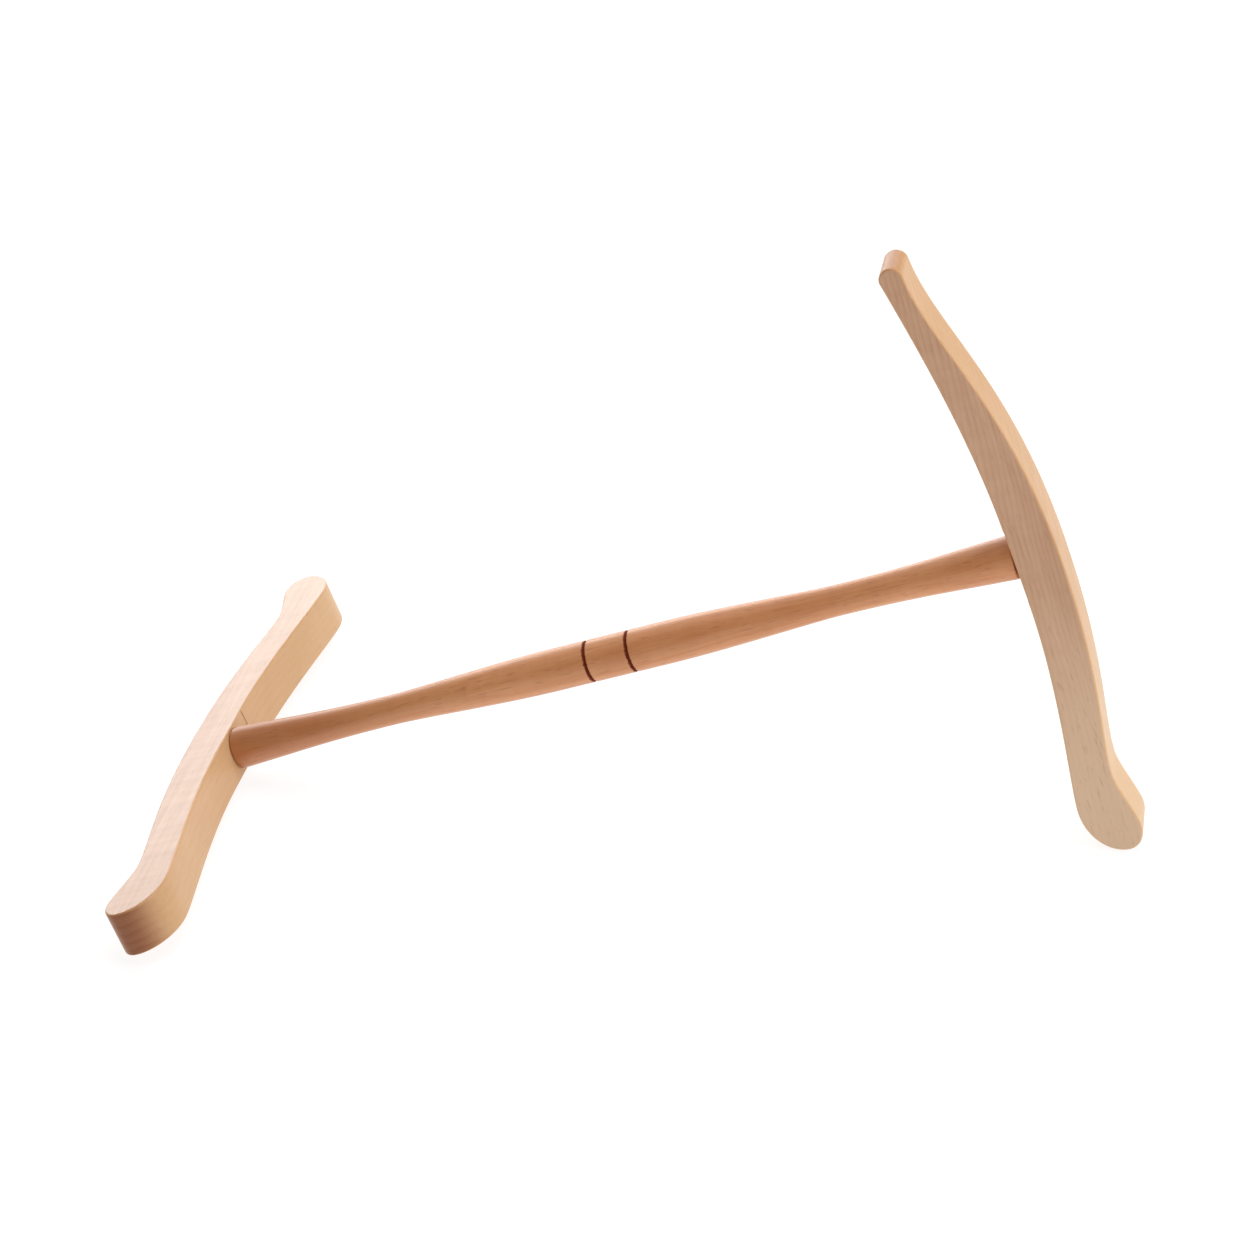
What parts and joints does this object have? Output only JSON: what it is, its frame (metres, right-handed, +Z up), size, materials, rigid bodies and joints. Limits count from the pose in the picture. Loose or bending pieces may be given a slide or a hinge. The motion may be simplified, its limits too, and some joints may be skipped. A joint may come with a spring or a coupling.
{
  "type": "niddy-noddy",
  "caption": "Hand skein winder: a turned beech shaft with two curved flat arms across its ends, square to each other, that yarn is wound around.",
  "frame": {"origin": "on the table that the winder rests on, under the middle of its bounding box", "axes": "+Z up; +X along the shaft's direction over the table, from the lipped arm towards the release arm, which the shaft climbs towards; Y along the lipped arm, with the XZ plane the plane that the whole winder is symmetrical about"},
  "size_m": [0.3845, 0.2648, 0.2398],
  "materials": {
    "shaft_wood": "turned beech, satin lacquer",
    "arm_wood": "planed beech, satin lacquer"
  },
  "bodies": {
    "shaft": {"centre_shaft": "shaft_wood"},
    "lipped": {"lipped_arm": "arm_wood"},
    "release": {"release_arm": "arm_wood"}
  },
  "joints": [
    {"name": "lipped_arm_twist", "type": "hinge", "parent": "shaft", "child": "lipped", "pos_m": [-0.17316, 0, 0.01427], "axis": [0.9459, 0, 0.3243], "continuous": true},
    {"name": "release_arm_twist", "type": "hinge", "parent": "shaft", "child": "release", "pos_m": [0.14089, 0, 0.12195], "axis": [0.9459, 0, 0.3243], "continuous": true}
  ]
}
